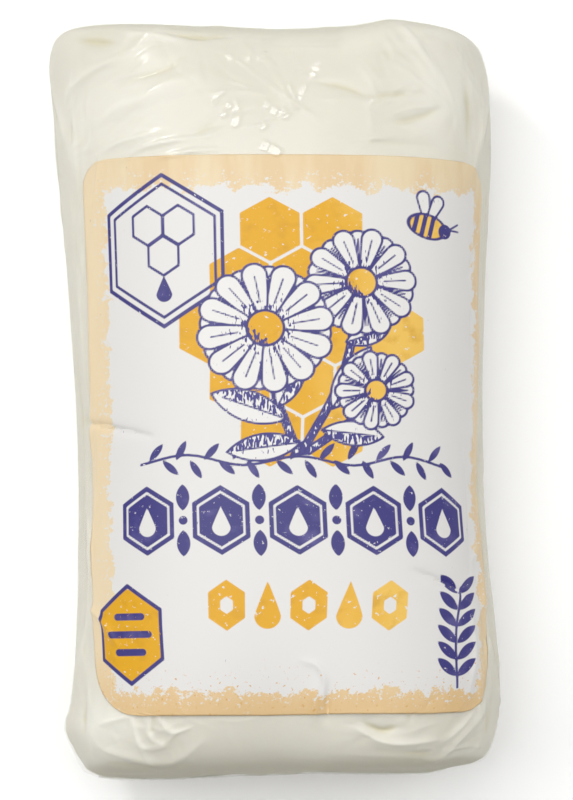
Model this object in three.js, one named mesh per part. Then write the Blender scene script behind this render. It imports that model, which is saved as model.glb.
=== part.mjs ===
// A soft goat cheese log, vacuum packed in clear shrink film, with a paper label over its top.
// It lies on its flattened underside. Millimetres: +X right, +Y towards the head end, +Z up,
// origin under the middle of the pack, on the surface that it lies on.
import * as THREE from "three";
import { mergeVertices } from "three/addons/utils/BufferGeometryUtils.js";

// Driving dimensions of the pack
const LENGTH = 86.5;
const THICKNESS = 30.6;
const WIDEST_HEIGHT = 13.2; // height of the widest line, where film from above meets film from below
const SQUASH = 0.9; // how far the cheese would sag below the table, were the table not there

// The cross-section is a superellipse, rounder above the widest line than below it
const ROUND_ABOVE = 2.45;
const ROUND_BELOW = 3.4;
// Seen from above the ends are nearly square at the widest line, where the film's corners stand
// out, and rounder over the cheese at the crown
const SQUARE_PLAN = 24;
const SQUARE_CROWN = 5;
const SQUARE_FALL = 0.9; // how quickly the one turns into the other, going up from the widest line

// Half widths of the pack at stations down its length: the soft log is waisted and leans a little
const STATIONS = [
  { y: 44, left: 25.9, right: 24.4 },
  { y: 39, left: 26.2, right: 25.1 },
  { y: 33, left: 25.7, right: 25.5 },
  { y: 10, left: 24.2, right: 24.8 },
  { y: -10, left: 23.1, right: 24.4 },
  { y: -31, left: 23.2, right: 26.4 },
  { y: -39, left: 23.6, right: 26 },
  { y: -44, left: 23.6, right: 25.4 },
];

// Label: a sticker that covers the crown and runs down over the right shoulder
const LABEL_HEAD = 26.6;
const LABEL_FOOT = -36.9;
// Degrees round the section, 0 at the right side and 90 at the crown
const LABEL_ANGLES = { right: { head: 23.5, foot: 29 }, left: { head: 144, foot: 146 } };
const LABEL_CORNER = 4;
const SHOULDER_RADIUS = 24; // turns the corners' millimetres into degrees round the section
const LABEL_THICKNESS = 0.3;
const LABEL_GAP = 0.3;

// How finely the two are divided, with the pack's rows drawn to its ends, where the folds are
const GRID = { across: 28, along: 46, up: 16, drawnToEnds: 0.62 };
const LABEL_GRID = { across: 22, along: 22, corner: 5 };

const lerp = (a, b, t) => a + (b - a) * t;
const smooth = (a, b, x) => THREE.MathUtils.smoothstep(x, a, b);
const bump = (x, middle, spread) => Math.exp(-(((x - middle) / spread) ** 2));

// Half width on one side at a place along the length, on a smooth curve through the stations
function halfWidth(y, side) {
  const last = STATIONS.length - 1;
  if (y >= STATIONS[0].y) return STATIONS[0][side];
  if (y <= STATIONS[last].y) return STATIONS[last][side];
  const slope = (k) => {
    const before = STATIONS[Math.max(0, k - 1)];
    const after = STATIONS[Math.min(last, k + 1)];
    return (after[side] - before[side]) / (after.y - before.y);
  };
  const i = STATIONS.findIndex((s) => y > s.y);
  const a = STATIONS[i - 1];
  const b = STATIONS[i];
  const gap = b.y - a.y;
  const t = (y - a.y) / gap;
  const eased = t * t * (3 - 2 * t);
  const leaving = t * (1 - t) ** 2 * gap * slope(i - 1);
  const arriving = t * t * (t - 1) * gap * slope(i);
  return lerp(a[side], b[side], eased) + leaving + arriving;
}

// How far an end stands out from its mean line, by the place across the pack: the folded seal
// pushes out the head at the right, and the foot is a little shorter on that side
function headLine(x) {
  return 0.5 * bump(x, 13.4, 4) - 0.3 * bump(x, -1.5, 6) - 0.5 * smooth(18, 25, x);
}

function footLine(x) {
  return -0.55 * smooth(-12, 16, x);
}

// The small ear that the film gathers into at the left of the foot, on the widest line
const EAR = { y: -38.2, reach: 0.9, spread: 1.8 };

// Folds that the shrunk film leaves in the soft cheese. Those on top are in plan, x and y; those on
// a side or an end are in its own elevation: y and z on a side, x and z on an end.
const FOLDS = [
  { face: "top", from: [-20, 28], to: [-7, 36], bow: 1.4, width: 1.7, height: 0.6 },
  { face: "top", from: [-19, 36], to: [-10, 40], bow: 0.4, width: 1.5, height: 0.4 },
  { face: "top", from: [-12, 40.2], to: [3, 39.6], bow: -0.8, width: 1.5, height: -0.5 },
  { face: "top", from: [6, 35.6], to: [18, 34.4], bow: 0.5, width: 1.5, height: -0.5 },
  { face: "top", from: [10, 38.5], to: [21, 33], bow: 0.6, width: 1.5, height: 0.5 },
  { face: "top", from: [-20, -39.5], to: [-5.5, -38], bow: -2.2, width: 1.6, height: 0.7 },
  { face: "top", from: [8, -38.3], to: [18.5, -38.8], bow: -0.5, width: 1.6, height: 0.6 },
  { face: "top", from: [17, -41.5], to: [23.5, -30], bow: -0.8, width: 1.7, height: 0.6 },
  { face: "top", from: [-22, -2.6], to: [-14, -4], bow: 0, width: 1.6, height: -0.4 },
];

// Pleats run out from the seal's two ends, onto the sides and across each end of the pack. They
// start at the corner at the seal's height and spread to these heights, long and short in turn.
const PLEAT_HEIGHTS = [3.5, 8.5, 17.5, 23];
const PLEAT = { start: 10.2, long: 17, short: 10, width: 1.7, height: 0.45 };

function pleats() {
  const made = [];
  for (const end of [-1, 1]) {
    PLEAT_HEIGHTS.forEach((z, i) => {
      const reach = i % 2 ? PLEAT.long : PLEAT.short;
      const from = lerp(PLEAT.start, z, 0.3);
      const bow = z > PLEAT.start ? -0.8 : 0.8;
      const shape = { width: PLEAT.width, height: i % 2 ? PLEAT.height : -PLEAT.height };
      const onSide = { from: [end * 42, from], to: [end * (42 - reach), z], bow: end * bow };
      made.push({ face: "left", ...onSide, ...shape }, { face: "right", ...onSide, ...shape });
      for (const side of [-1, 1]) {
        const onEnd = { from: [side * 23, from], to: [side * (23 - reach), z], bow: side * bow };
        made.push({ face: end > 0 ? "head" : "foot", ...onEnd, ...shape });
      }
    });
  }
  return made;
}

const ALL_FOLDS = [...FOLDS, ...pleats()];

// Each end's crimped seal, folded down against the cheese, and the corner of the head's seal that
// lies over the shoulder instead
const SEAL = { low: 7.5, high: 12.8, half: 21, edge: 0.9, height: 0.6 };
const FLAP = { left: 8.4, foot: 39.4, slope: 0.12, edge: 0.8, height: 0.45 };

// Height of one fold at a point of its own elevation: a rounded ridge along a bowed line
function foldHeight(fold, u, v) {
  const [u0, v0] = fold.from;
  const [u1, v1] = fold.to;
  const du = u1 - u0;
  const dv = v1 - v0;
  const long = Math.hypot(du, dv);
  const t = ((u - u0) * du + (v - v0) * dv) / (long * long);
  const held = THREE.MathUtils.clamp(t, 0, 1);
  const off = ((v - v0) * du - (u - u0) * dv) / long - fold.bow * 4 * held * (1 - held);
  const beyond = (t - held) * long;
  const fade = Math.sin(Math.PI * lerp(0.12, 0.88, held));
  return fold.height * fade * Math.exp(-(off * off + beyond * beyond) / fold.width ** 2);
}

// Each face's own plan, and how much a surface that looks along n belongs to it
const FACES = {
  top: { plan: (p) => [p.x, p.y], share: (n) => smooth(0.15, 0.5, n.z) },
  left: { plan: (p) => [p.y, p.z], share: (n) => smooth(0.4, 0.75, -n.x) },
  right: { plan: (p) => [p.y, p.z], share: (n) => smooth(0.4, 0.75, n.x) },
  head: { plan: (p) => [p.x, p.z], share: (n) => smooth(0.4, 0.75, n.y) },
  foot: { plan: (p) => [p.x, p.z], share: (n) => smooth(0.4, 0.75, -n.y) },
};

function relief(p, n) {
  let sum = 0;
  for (const fold of ALL_FOLDS) {
    const face = FACES[fold.face];
    const share = face.share(n);
    if (share > 0) sum += share * foldHeight(fold, ...face.plan(p));
  }
  return sum + sealHeight(p, n) + flapHeight(p, n);
}

function sealHeight(p, n) {
  const within = 1 - smooth(SEAL.half - SEAL.edge, SEAL.half + SEAL.edge, Math.abs(p.x));
  const above = smooth(SEAL.low - SEAL.edge, SEAL.low, p.z);
  const below = 1 - smooth(SEAL.high, SEAL.high + SEAL.edge, p.z);
  return SEAL.height * within * above * below * (FACES.head.share(n) + FACES.foot.share(n));
}

function flapHeight(p, n) {
  const right = p.x - FLAP.left;
  const over = p.y - FLAP.foot - FLAP.slope * right;
  const height = FLAP.height * smooth(-FLAP.edge, 0, right) * smooth(-FLAP.edge, 0, over);
  return height * smooth(-0.1, 0.2, n.z);
}

// How round the section is, and how square the plan, at the place whose sine round the section is s
const roundness = (s) => (s >= 0 ? ROUND_ABOVE : ROUND_BELOW);
const squareness = (s) => lerp(SQUARE_PLAN, SQUARE_CROWN, Math.abs(s) ** SQUARE_FALL);

// The smooth pack. angle runs round the section from the right side over the crown, and along is
// the share of the half length, from -1 at the foot to 1 at the head.
function smoothPack(angle, along) {
  const c = Math.cos(angle);
  const s = Math.sin(angle);
  const round = roundness(s);
  const square = squareness(s);
  const reach = (Math.abs(c) ** round + Math.abs(s) ** round) ** (-1 / round);
  const taper = (1 - Math.min(1, Math.abs(along)) ** square) ** (1 / square);
  const y0 = (along * LENGTH) / 2;
  const side = c < 0 ? "left" : "right";
  let x = reach * c * taper * halfWidth(y0, side);
  if (c < 0) x -= EAR.reach * (1 - Math.abs(s)) ** 1.5 * bump(y0, EAR.y, EAR.spread);
  const atEnd = Math.abs(along) ** 6; // 1 at the very end
  const y = y0 + atEnd * (along > 0 ? headLine(x) : -footLine(x));
  const up = s >= 0 ? THICKNESS - WIDEST_HEIGHT : WIDEST_HEIGHT + SQUASH;
  return new THREE.Vector3(x, y, WIDEST_HEIGHT + reach * s * taper * up);
}

// Outward normal of the smooth pack, from its neighbours along both directions
function packNormal(angle, along) {
  const step = 1e-3;
  const held = THREE.MathUtils.clamp(along, -1 + 2 * step, 1 - 2 * step);
  const round = smoothPack(angle + step, held).sub(smoothPack(angle - step, held));
  const long = smoothPack(angle, held + step).sub(smoothPack(angle, held - step));
  return long.cross(round).normalize();
}

// A point of the packed surface, folds and seals included, or that much above it
function packPoint(angle, along, lift = 0) {
  const p = smoothPack(angle, along);
  const n = packNormal(angle, along);
  p.addScaledVector(n, relief(p, n) + lift);
  p.z = Math.max(0, p.z);
  return p;
}

// A cube whose vertices are thrown out onto the pack, so that its triangles stay even all over
function makePack() {
  let geometry = new THREE.BoxGeometry(2, 2, 2, GRID.across, GRID.along, GRID.up);
  geometry.deleteAttribute("normal");
  geometry.deleteAttribute("uv");
  geometry = mergeVertices(geometry, 1e-4);
  const position = geometry.attributes.position;
  const even = (v) => Math.tan((v * Math.PI) / 4);
  for (let i = 0; i < position.count; i++) {
    const a = even(position.getX(i));
    const b = lerp(position.getY(i), Math.sin((position.getY(i) * Math.PI) / 2), GRID.drawnToEnds);
    const c = even(position.getZ(i));
    const angle = Math.atan2(c, a);
    const round = roundness(c);
    const square = squareness(Math.sin(angle));
    const r = (Math.abs(a) ** round + Math.abs(c) ** round) ** (1 / round);
    const along = b / (r ** square + Math.abs(b) ** square) ** (1 / square);
    const p = packPoint(angle, along);
    position.setXYZ(i, p.x, p.y, p.z);
  }
  return geometry;
}

// Rows of the label from foot to head: its place along the length, and how far its ends are cut
// back by the round corners
function labelRows() {
  const corner = [];
  for (let k = 0; k < LABEL_GRID.corner; k++) {
    const turn = (k / LABEL_GRID.corner) * (Math.PI / 2);
    corner.push({ into: LABEL_CORNER * (1 - Math.cos(turn)), cut: LABEL_CORNER * (1 - Math.sin(turn)) });
  }
  const rows = corner.map(({ into, cut }) => ({ y: LABEL_FOOT + into, cut }));
  for (let k = 0; k <= LABEL_GRID.along; k++) {
    const y = lerp(LABEL_FOOT + LABEL_CORNER, LABEL_HEAD - LABEL_CORNER, k / LABEL_GRID.along);
    rows.push({ y, cut: 0 });
  }
  return rows.concat(corner.reverse().map(({ into, cut }) => ({ y: LABEL_HEAD - into, cut })));
}

function makeLabel() {
  const { across } = LABEL_GRID;
  const rows = labelRows();
  const along = rows.length - 1;
  const points = [];
  const indices = [];
  const index = (layer, i, j) => (layer * (along + 1) + j) * (across + 1) + i;
  for (const lift of [LABEL_GAP, LABEL_GAP + LABEL_THICKNESS]) {
    for (let j = 0; j <= along; j++) {
      for (let i = 0; i <= across; i++) {
        const { y, cut } = rows[j];
        const t = (y - LABEL_FOOT) / (LABEL_HEAD - LABEL_FOOT);
        const turned = THREE.MathUtils.radToDeg(cut / SHOULDER_RADIUS);
        const left = lerp(LABEL_ANGLES.left.foot, LABEL_ANGLES.left.head, t) - turned;
        const right = lerp(LABEL_ANGLES.right.foot, LABEL_ANGLES.right.head, t) + turned;
        const degrees = lerp(left, right, i / across);
        const p = packPoint(THREE.MathUtils.degToRad(degrees), (2 * y) / LENGTH, lift);
        points.push(p.x, p.y, p.z);
      }
    }
  }
  const quad = (a, b, c, d) => indices.push(a, b, c, a, c, d);
  for (let j = 0; j < along; j++) {
    for (let i = 0; i < across; i++) {
      quad(index(1, i, j), index(1, i + 1, j), index(1, i + 1, j + 1), index(1, i, j + 1));
      quad(index(0, i, j), index(0, i, j + 1), index(0, i + 1, j + 1), index(0, i + 1, j));
    }
  }
  for (let i = 0; i < across; i++) {
    quad(index(0, i, 0), index(0, i + 1, 0), index(1, i + 1, 0), index(1, i, 0));
    quad(index(1, i, along), index(1, i + 1, along), index(0, i + 1, along), index(0, i, along));
  }
  for (let j = 0; j < along; j++) {
    quad(index(1, 0, j), index(1, 0, j + 1), index(0, 0, j + 1), index(0, 0, j));
    quad(index(0, across, j), index(0, across, j + 1), index(1, across, j + 1), index(1, across, j));
  }
  const geometry = new THREE.BufferGeometry();
  geometry.setAttribute("position", new THREE.Float32BufferAttribute(points, 3));
  geometry.setIndex(indices);
  return geometry;
}

const clearFilmOverCheese = new THREE.MeshStandardMaterial({
  color: 0xe6e3d3,
  roughness: 0.25,
  metalness: 0,
});
const printedPaper = new THREE.MeshStandardMaterial({
  color: 0xe9e7e3,
  roughness: 0.55,
  metalness: 0,
});

const pack = new THREE.Mesh(makePack(), clearFilmOverCheese);
pack.name = "wrapped_log";
const label = new THREE.Mesh(makeLabel(), printedPaper);
label.name = "label";

const log = new THREE.Group();
log.add(pack, label);

// The origin goes under the middle of the whole
const box = new THREE.Box3().setFromObject(log);
const middle = box.getCenter(new THREE.Vector3());
for (const mesh of [pack, label]) mesh.geometry.translate(-middle.x, -middle.y, -box.min.z);

export default log;
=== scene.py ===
import math

import bpy
import numpy as np
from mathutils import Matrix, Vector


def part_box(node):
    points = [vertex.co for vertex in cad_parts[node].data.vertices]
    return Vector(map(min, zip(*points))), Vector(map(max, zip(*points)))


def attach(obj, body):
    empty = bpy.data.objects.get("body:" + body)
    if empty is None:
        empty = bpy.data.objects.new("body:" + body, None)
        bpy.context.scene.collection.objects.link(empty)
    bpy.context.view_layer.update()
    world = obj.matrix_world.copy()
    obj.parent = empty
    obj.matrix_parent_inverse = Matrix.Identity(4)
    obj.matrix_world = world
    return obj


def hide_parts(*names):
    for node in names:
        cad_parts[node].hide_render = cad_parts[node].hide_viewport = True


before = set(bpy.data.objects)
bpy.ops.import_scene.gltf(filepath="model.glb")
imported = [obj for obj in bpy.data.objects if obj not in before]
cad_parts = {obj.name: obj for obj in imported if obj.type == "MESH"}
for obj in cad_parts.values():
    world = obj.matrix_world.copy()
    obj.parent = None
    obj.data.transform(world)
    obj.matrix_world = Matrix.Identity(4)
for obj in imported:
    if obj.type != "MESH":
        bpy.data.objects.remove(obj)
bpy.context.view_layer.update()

# Table, camera and light
# The pack lies on opal acrylic and is seen from just short of straight above, a little from its
# foot. Four softboxes hang over it, a small key lamp to the left of its head draws the glints in
# the film, and three reflectors stand low round it.
MM = 0.001
TARGET = (1.44 * MM, -0.4 * MM, 15 * MM)
CAMERA_DISTANCE = 0.5
CAMERA_TILT = math.radians(5)
LENS_MM = 192.5
SENSOR_MM = 36


def linear(hex_colour, alpha=1.0):
    """Turns an sRGB hex colour into the linear one that shaders take."""
    channels = [int(hex_colour[i:i + 2], 16) / 255 for i in (0, 2, 4)]
    return (*[c / 12.92 if c <= 0.04045 else ((c + 0.055) / 1.055) ** 2.4 for c in channels], alpha)


def new_material(name):
    """A material with an empty node tree and its output node."""
    material = bpy.data.materials.new(name)
    material.use_nodes = True
    material.node_tree.nodes.clear()
    return material, material.node_tree.nodes.new("ShaderNodeOutputMaterial")


def node(material, kind, settings=None, **inputs):
    """Adds a shader node with its settings. Its inputs, by name or as _0, _1 and so on by number,
    are set to values, or linked from a socket or from a node's first one."""
    made = material.node_tree.nodes.new("ShaderNode" + kind)
    for name, value in (settings or {}).items():
        setattr(made, name, value)
    for name, value in inputs.items():
        key = int(name[1:]) if name[0] == "_" else name.replace("_", " ")
        if isinstance(value, bpy.types.Node):
            value = value.outputs[0]
        if isinstance(value, bpy.types.NodeSocket):
            material.node_tree.links.new(value, made.inputs[key])
        else:
            made.inputs[key].default_value = value
    return made


def surface(material, out, shader):
    """Gives the material its finished surface."""
    material.node_tree.links.new(shader.outputs[0], out.inputs["Surface"])


scene = bpy.context.scene
camera_data = bpy.data.cameras.new("camera")
camera_data.lens = LENS_MM
camera_data.sensor_width = SENSOR_MM
camera = bpy.data.objects.new("camera", camera_data)
camera.location = (TARGET[0], TARGET[1] - CAMERA_DISTANCE * math.sin(CAMERA_TILT),
                   TARGET[2] + CAMERA_DISTANCE * math.cos(CAMERA_TILT))
camera.rotation_euler = (CAMERA_TILT, 0, 0)
scene.collection.objects.link(camera)
scene.camera = camera
LAMP_DISTANCE = 0.9


def softbox(name, direction, size, power):
    """A square softbox that faces the pack from a direction, its size in metres, power in watts."""
    light = bpy.data.lights.new(name, "AREA")
    light.shape = "SQUARE"
    light.size = size
    light.energy = power
    lamp = bpy.data.objects.new(name, light)
    x, y, z = (c / math.hypot(*direction) for c in direction)
    lamp.location = (x * LAMP_DISTANCE, y * LAMP_DISTANCE, z * LAMP_DISTANCE)
    lamp.rotation_euler = (0, math.acos(z), math.atan2(y, x))
    scene.collection.objects.link(lamp)


KEY = (-0.5, 0.45, 0.74)
softbox("overhead_softbox", (-0.05, 0.05, 1), 1.0, 3.3)
softbox("left_softbox", (-0.35, 0.15, 0.92), 0.7, 2.9)
softbox("right_softbox", (0.35, 0.1, 0.93), 0.8, 1.4)
softbox("foot_softbox", (0.05, -0.35, 0.93), 0.8, 1.0)
softbox("key_lamp", KEY, 0.12, 1.3)
softbox("left_reflector", (-0.9, 0.15, 0.45), 0.6, 1.05)
softbox("right_reflector", (0.85, 0.3, 0.5), 0.6, 1.75)
softbox("head_reflector", (0, 0.85, 0.5), 0.6, 0.8)

world = bpy.data.worlds.new("studio")
world.use_nodes = True
background = world.node_tree.nodes["Background"]
background.inputs["Color"].default_value = (1, 1, 1, 1)
background.inputs["Strength"].default_value = 0.05
scene.world = world
scene.view_settings.view_transform = "Standard"

FLOOR_SIZE = 2.4
FLOOR_BELOW = 0.2 * MM


def started(name, add, **sizes):
    """A new primitive, selected alone, with its name."""
    bpy.ops.object.select_all(action="DESELECT")
    add(**sizes)
    made = bpy.context.object
    made.name = made.data.name = name
    return made


floor = started("table", bpy.ops.mesh.primitive_plane_add, size=FLOOR_SIZE, location=(0, 0, -FLOOR_BELOW))
bpy.ops.object.transform_apply(location=True, rotation=True, scale=True)
# Opal acrylic, matt and white, and lit a little from below so that shadows stay short
acrylic, acrylic_out = new_material("opal_acrylic")
opal = node(acrylic, "BsdfDiffuse", Color=linear("fafafa"))
glow = node(acrylic, "Emission", Color=(1, 1, 1, 1), Strength=0.08)
surface(acrylic, acrylic_out, node(acrylic, "AddShader", _0=opal, _1=glow))
floor.data.materials.append(acrylic)

# Cheese
# A pressed log of soft fresh goat cheese: dense, ivory white and slightly moist. The film has
# squeezed it into a waisted block with round shoulders and has printed its folds in it.

# Millimetres: its length between the mean lines of the ends, its thickness, the height of its
# widest line, and how much the table has flattened its underside
LENGTH = 86.5
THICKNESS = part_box("wrapped_log")[1][2] / MM
WIDEST_HEIGHT = 13.2
SQUASH = 0.9
# Exponents: how square the section is above and below its widest line, and the plan at the crown
ROUND_ABOVE = 2.45
ROUND_BELOW = 3.4
SQUARE_CROWN = 5
SQUARE_FALL = 0.9
# How square the plan is at the corners, left and right, of the head and of the foot: the higher,
# the squarer. The film stands out into its corners, and the cheese does not fill them.
FILM_CORNERS = {"head": (55, 34), "foot": (30, 44)}
CHEESE_CORNERS = {"head": (42, 27), "foot": (21, 33)}
# Half widths, left and right, at places down the pack, and a corner of film that stands out
STATION_Y = np.array([-44, -39, -31, -10, 10, 33, 39, 44], float)
STATION_LEFT = np.array([22.6, 23.3, 23.0, 22.6, 23.8, 25.7, 26.2, 25.9])
STATION_RIGHT = np.array([24.8, 25.8, 26.4, 24.5, 24.9, 25.7, 25.1, 24.3])
EAR_Y = -38.2
EAR_REACH = 0.9
EAR_SPREAD = 1.8
# How deep the cheese lies under the face of the film
CHEESE_UNDER_FILM = 0.07


def ease(low, high, x):
    """0 below low, 1 above high, and a smooth step between."""
    t = np.clip((x - low) / (high - low), 0, 1)
    return t * t * (3 - 2 * t)


def swell(x, middle, spread):
    """1 at the middle, and fading to both sides."""
    return np.exp(-(((x - middle) / spread) ** 2))


def half_width(y, widths):
    """Half width at places down the pack, on a smooth curve through the stations."""
    slope = np.gradient(widths, STATION_Y)
    slope[1:-1] = (widths[2:] - widths[:-2]) / (STATION_Y[2:] - STATION_Y[:-2])
    y = np.clip(y, STATION_Y[0], STATION_Y[-1])
    i = np.clip(np.searchsorted(STATION_Y, y) - 1, 0, len(STATION_Y) - 2)
    gap = STATION_Y[i + 1] - STATION_Y[i]
    t = (y - STATION_Y[i]) / gap
    eased = widths[i] + (widths[i + 1] - widths[i]) * t * t * (3 - 2 * t)
    return eased + gap * (t * (1 - t) ** 2 * slope[i] + t * t * (t - 1) * slope[i + 1])


# How far the ends stand out from their mean lines, by the place across the pack
HEAD_LINE = [(-23, 0.05), (-17, -0.25), (-8.7, -0.65), (-1.6, -0.38), (5, -0.55), (9, -0.7),
             (11.8, -0.15), (13.5, 0.3), (16.5, 0.1), (21, -0.2), (24.5, -0.7)]
FOOT_LINE = [(-23, 0.35), (-20, 0.65), (-14.5, 0.6), (-8.7, 0.55), (-0.5, 0.5), (8.9, 0.0),
             (18, -0.05), (20.2, -0.5), (24, -0.8)]
BRUSH_HALF = 15


def end_line(x, line):
    """A line through the given points, rounded with a soft brush."""
    fine = np.linspace(-28, 28, 561)
    drawn = np.interp(fine, *zip(*line))
    brush = np.exp(-np.linspace(-2, 2, 2 * BRUSH_HALF + 1) ** 2)
    rounded = np.convolve(np.pad(drawn, BRUSH_HALF, mode="edge"), brush / brush.sum(), mode="valid")
    return np.interp(x, fine, rounded)


def squareness(angle, forward, corners):
    """How square the plan is: least over the crown, most at the widest line."""
    right = ease(-0.4, 0.4, np.cos(angle))
    head, foot = (left_right[0] + (left_right[1] - left_right[0]) * right
                  for left_right in (corners["head"], corners["foot"]))
    plan = np.where(forward > 0, head, foot)
    return plan + (SQUARE_CROWN - plan) * np.abs(np.sin(angle)) ** SQUARE_FALL


def smooth_log(angle, along, corners, taper=None):
    """The log without folds. angle runs round the section and along from foot, -1, to head, 1.
    taper, by how much the section is smaller there, follows from along, but on the ends too coarsely."""
    c = np.cos(angle)
    s = np.sin(angle)
    roundness = np.where(s >= 0, ROUND_ABOVE, ROUND_BELOW)
    square = squareness(angle, along, corners)
    reach = (np.abs(c) ** roundness + np.abs(s) ** roundness) ** (-1 / roundness)
    if taper is None:
        taper = (1 - np.minimum(1, np.abs(along)) ** square) ** (1 / square)
    y = along * LENGTH / 2
    width = np.where(c < 0, half_width(y, STATION_LEFT), half_width(y, STATION_RIGHT))
    ear = np.where(c < 0, EAR_REACH * (1 - np.abs(s)) ** 1.5 * swell(y, EAR_Y, EAR_SPREAD), 0)
    x = reach * c * taper * width - ear
    y = y + np.abs(along) ** 6 * np.where(along > 0, end_line(x, HEAD_LINE), -end_line(x, FOOT_LINE))
    up = np.where(s >= 0, THICKNESS - WIDEST_HEIGHT, WIDEST_HEIGHT + SQUASH)
    return np.stack([x, y, WIDEST_HEIGHT + reach * s * taper * up], axis=-1)


def log_normal(angle, along, corners):
    """Outward directions of the smooth log, from neighbours along both directions."""
    step = 1e-3
    held = np.clip(along, -1 + 2 * step, 1 - 2 * step)
    around = smooth_log(angle + step, held, corners) - smooth_log(angle - step, held, corners)
    length = smooth_log(angle, held + step, corners) - smooth_log(angle, held - step, corners)
    out = np.cross(length, around)
    return out / np.linalg.norm(out, axis=-1, keepdims=True)


# The folds that film and cheese share, as routes in millimetres: x and y on top, y and z on a
# side, x and z on an end. Each has a width, and a height that is below 0 for a groove.
TOP_FOLDS = [
    ([(-20.8, 30.8), (-15.3, 33.4), (-8.5, 36)], 1.5, 0.31),
    ([(-24, 34.6), (-21.8, 36.4), (-18, 38.4)], 0.63, 0.34),
    ([(-18.4, 35.1), (-12.5, 36.5), (-10.2, 38.2)], 0.63, -0.24),
    ([(-22.6, 41), (-18.2, 40.2)], 0.9, -0.32),
    ([(-17.8, 41.7), (-13.1, 40.8), (-8.6, 39.8)], 0.72, 0.4),
    ([(-12, 41.3), (-8.6, 40.8), (-5.2, 40.9)], 0.45, -0.41),
    ([(-6.6, 40.2), (0.6, 40.9)], 0.36, 0.25),
    ([(-20, 27), (-17.9, 28.3), (-12.4, 29.5)], 0.5, 0.24),
    ([(-17.4, 26.2), (-14.2, 27.8), (-6.4, 28.9)], 0.45, 0.24),
    ([(-12.8, 26.4), (-9.5, 27), (-6.2, 27.2)], 0.36, 0.28),
    ([(0.4, 39.5), (5.3, 39.2), (8.4, 39.1)], 0.45, 0.23),
    ([(5.4, 35.1), (8.6, 34.4), (11.2, 33.3)], 0.45, -0.26),
    ([(11.3, 33.5), (13.2, 33.7), (17.2, 34.1)], 0.45, -0.26),
    ([(11, 33.1), (11.5, 29.2)], 0.36, 0.12),
    ([(14.2, 43.1), (16.2, 40.8), (19.3, 36.1)], 0.63, 0.29),
    ([(12.2, 40.6), (13.8, 37.5), (14.8, 35.4)], 0.8, -0.15),
    ([(21.2, 39.6), (23.2, 35.7), (25, 32.4)], 0.63, 0.29),
    ([(13.6, 30.3), (17.2, 31.4), (19.5, 32.6)], 0.54, -0.21),
    ([(8.6, 27.7), (12, 28.1), (19.2, 28)], 0.36, -0.13),
    ([(-19.9, -38.1), (-16.4, -37.2)], 0.45, 0.3),
    ([(-16.2, -37.2), (-15.2, -40.3), (-14, -41), (-12.3, -40.6), (-11, -39.2)], 0.45, 0.34),
    ([(-14.4, -37.2), (-13.8, -39.8), (-12.4, -40.5)], 0.32, 0.22),
    ([(-13.6, -36.9), (-13.7, -39.4)], 0.27, -0.26),
    ([(-13, -37.6), (-11.3, -39.1), (-9.3, -38.6)], 0.36, 0.22),
    ([(-20.9, -39.2), (-19.3, -41.1), (-13, -42.8), (-10.4, -42.2), (-8, -40.3)], 0.81, 0.52),
    ([(-18.9, -42.9), (-13, -43.6), (-9.2, -42.9)], 0.45, -0.37),
    ([(10.3, -38), (12.5, -38.9), (14.5, -38.4)], 0.54, -0.37),
    ([(9.8, -38.8), (12.5, -40.1), (15.4, -40.4), (19.2, -39.9)], 0.72, 0.45),
    ([(12, -41.4), (19, -41.9)], 0.63, -0.22),
    ([(18.2, -43), (20.6, -40.9), (22.9, -38.3), (24.5, -35.5), (25.3, -30.8)], 0.63, 0.45),
    ([(19.3, -40.5), (21.7, -38.3), (23.6, -35.9)], 0.45, 0.26),
    ([(15.7, -36.8), (15.7, -37.9)], 0.27, -0.22),
    ([(-22.6, -29), (-22.2, -35.6)], 0.41, 0.34),
    ([(-21.5, -29.8), (-20.8, -36.8)], 0.41, 0.34),
    ([(-22.4, -2.9), (-17.5, -4.5), (-13.8, -5.4)], 0.45, -0.5),
    ([(-20.8, -24.6), (-19, -26.6), (-17.5, -29.2)], 0.45, 0.45),
    ([(4.9, -33.6), (5, -37.8)], 0.63, 0.3),
    ([(6.2, -33.8), (6.3, -37.8)], 0.54, -0.3),
    ([(3.4, -30.9), (5.2, -31.6), (6, -33.4), (5.8, -35.6)], 0.45, 0.2),
    ([(16.2, -20.7), (20.2, -22.3), (22.4, -23.4)], 0.45, -0.36),
]

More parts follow.
